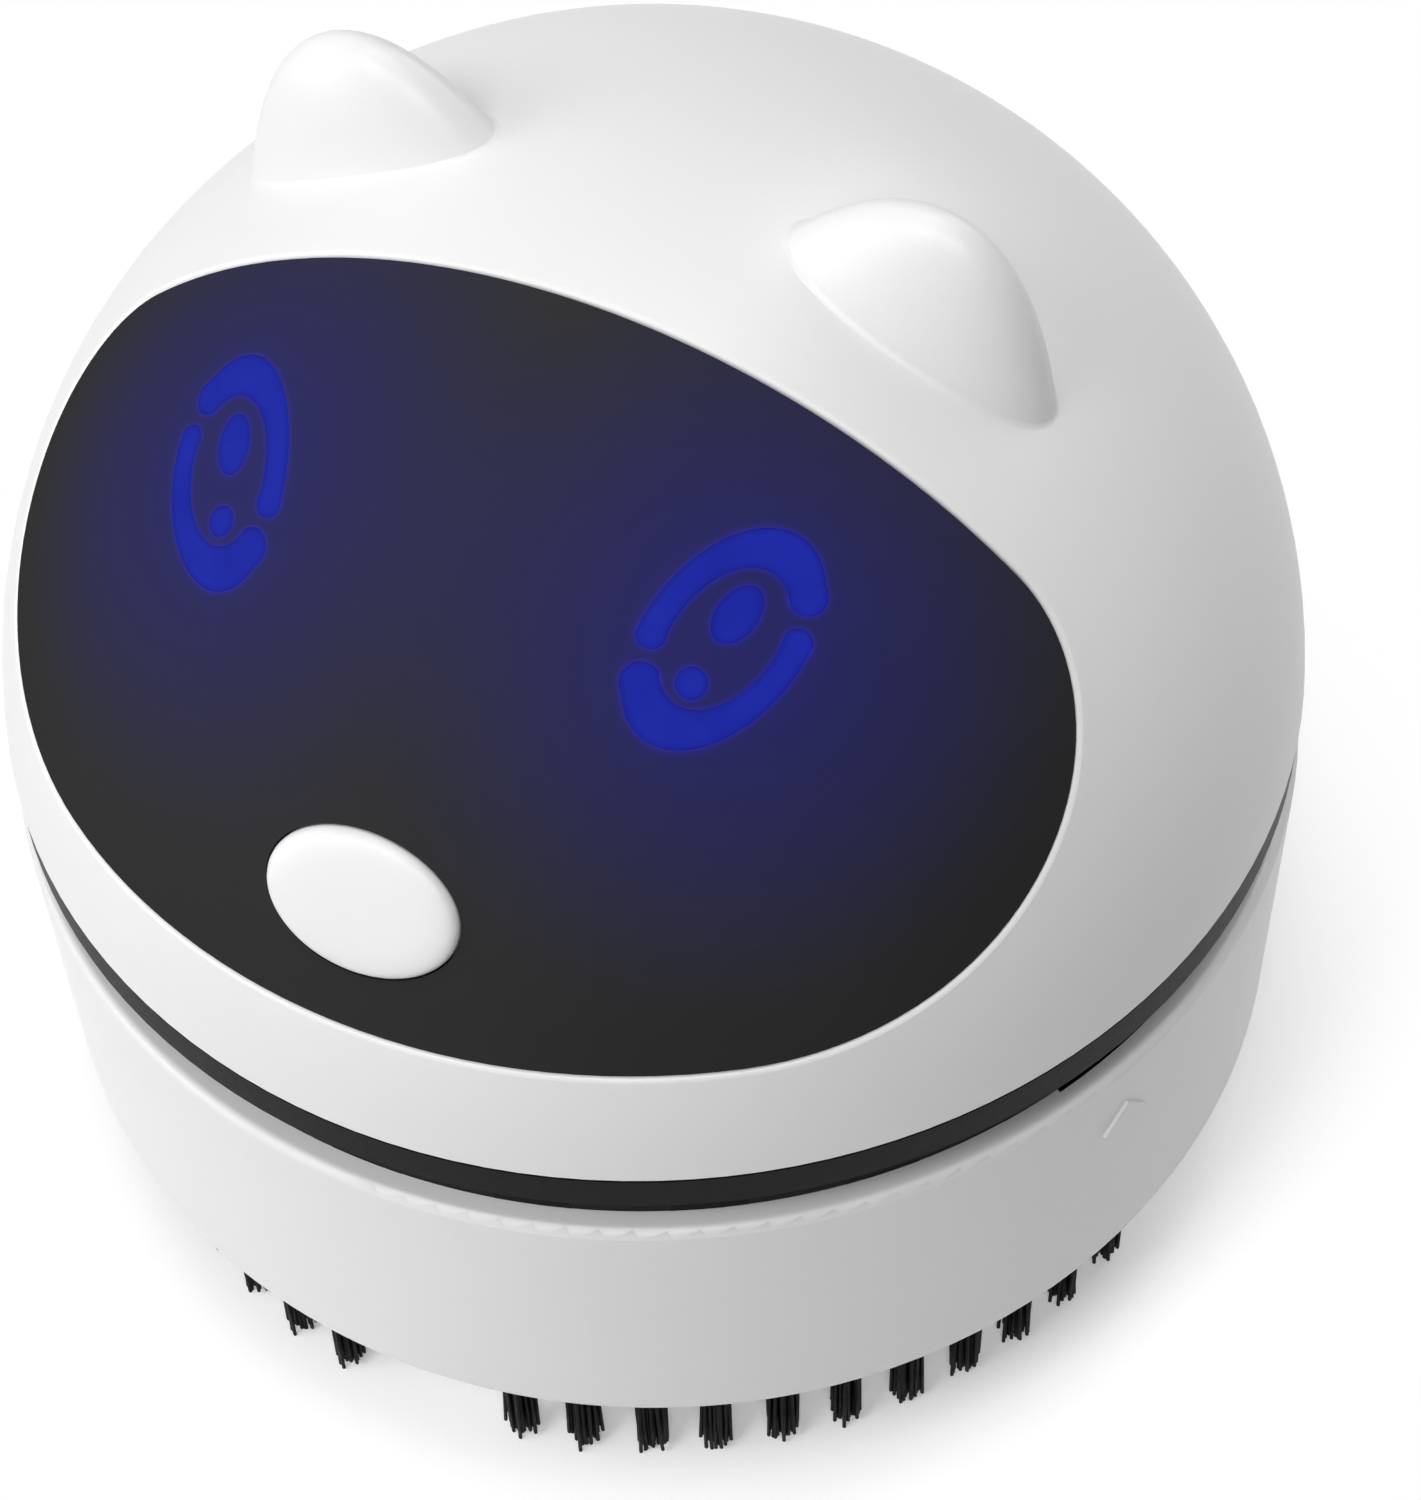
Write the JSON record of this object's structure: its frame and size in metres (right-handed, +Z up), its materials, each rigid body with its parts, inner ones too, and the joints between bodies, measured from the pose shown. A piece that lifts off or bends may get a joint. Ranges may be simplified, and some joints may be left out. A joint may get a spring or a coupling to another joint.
{
  "type": "desktop_mini_vacuum",
  "caption": "Round desktop mini vacuum: domed white body with moulded ears, dark lit face panel, nose push button, twist-off dust cup and bristle skirt.",
  "frame": {"origin": "Centre of the round body on the surface it stands on, at the bristle tips.", "axes": "+Z up along the round body's axis; the lit face looks towards -Y, and +X is to the right for someone who looks at the face from the front."},
  "size_m": [0.0798, 0.0798, 0.0775],
  "materials": {
    "white_plastic": "satin-gloss moulded white",
    "smoked_panel": "smoked satin-gloss panel",
    "blue_light": "lit blue light guide",
    "white_inner": "plain white moulding",
    "circuit_board": "green solder mask",
    "lamp_resin": "clear lamp resin",
    "dark_plastic": "black moulded plastic",
    "zinc_steel": "zinc-plated steel",
    "port_steel": "drawn stainless steel",
    "nickel_strip": "nickel strip",
    "cell_sleeve": "heat-shrink sleeve",
    "brass_terminal": "brass blade",
    "bush_brass": "sintered bronze",
    "magnet_ferrite": "bonded ferrite",
    "armature_steel": "stamped laminations",
    "filter_cloth": "fine woven mesh",
    "seal_rubber": "soft black rubber",
    "bristle_nylon": "black nylon bristle"
  },
  "bodies": {
    "body": {"top_shell": "white_plastic", "face_panel": "smoked_panel", "eye_light_right": "blue_light", "eye_light_left": "blue_light", "lamp_hood_right": "white_inner", "lamp_hood_left": "white_inner", "lamp_board_right": "circuit_board", "lamp_board_left": "circuit_board", "switch_board": "circuit_board", "main_board": "circuit_board", "eye_lamps": "lamp_resin", "switch_body": "dark_plastic", "switch_screws": "zinc_steel", "board_screws": "zinc_steel", "motor_screws": "zinc_steel", "cover_screws": "zinc_steel", "shell_screws": "zinc_steel", "chassis": "dark_plastic", "neck": "dark_plastic", "fan_cover": "dark_plastic", "filter_frame": "dark_plastic", "board_chips": "dark_plastic", "charging_port": "port_steel", "battery_tabs": "nickel_strip", "battery_cell": "cell_sleeve", "motor_can": "zinc_steel", "motor_end_cap": "white_inner", "motor_terminals": "brass_terminal", "motor_bushes": "bush_brass", "motor_magnets": "magnet_ferrite", "filter_mesh": "filter_cloth", "cup_seal": "seal_rubber"},
    "rotor": {"impeller": "dark_plastic", "motor_shaft": "zinc_steel", "motor_armature": "armature_steel"},
    "button": {"nose_button": "white_plastic", "switch_plunger": "dark_plastic"},
    "cup": {"dust_cup": "white_plastic", "cup_floor": "white_plastic", "inlet_tube": "white_plastic", "brush_ring": "white_plastic", "brush_screws": "zinc_steel", "tufts_front_right": "bristle_nylon", "tufts_front_left": "bristle_nylon", "tufts_rear_right": "bristle_nylon", "tufts_rear_left": "bristle_nylon"}
  },
  "joints": [
    {"name": "fan_spin", "type": "hinge", "parent": "body", "child": "rotor", "pos_m": [0, 0, 0.045], "axis": [0, 0, 1], "continuous": true},
    {"name": "button_press", "type": "slide", "parent": "body", "child": "button", "axis": [0, 0.8906, -0.4548], "range_m": [0, 0.0008], "stiffness_N_per_m": 500, "springref_m": -0.0004},
    {"name": "cup_twist", "type": "hinge", "parent": "body", "child": "cup", "pos_m": [0, 0, 0.028], "axis": [0, 0, 1], "range_deg": [0, 20]}
  ]
}
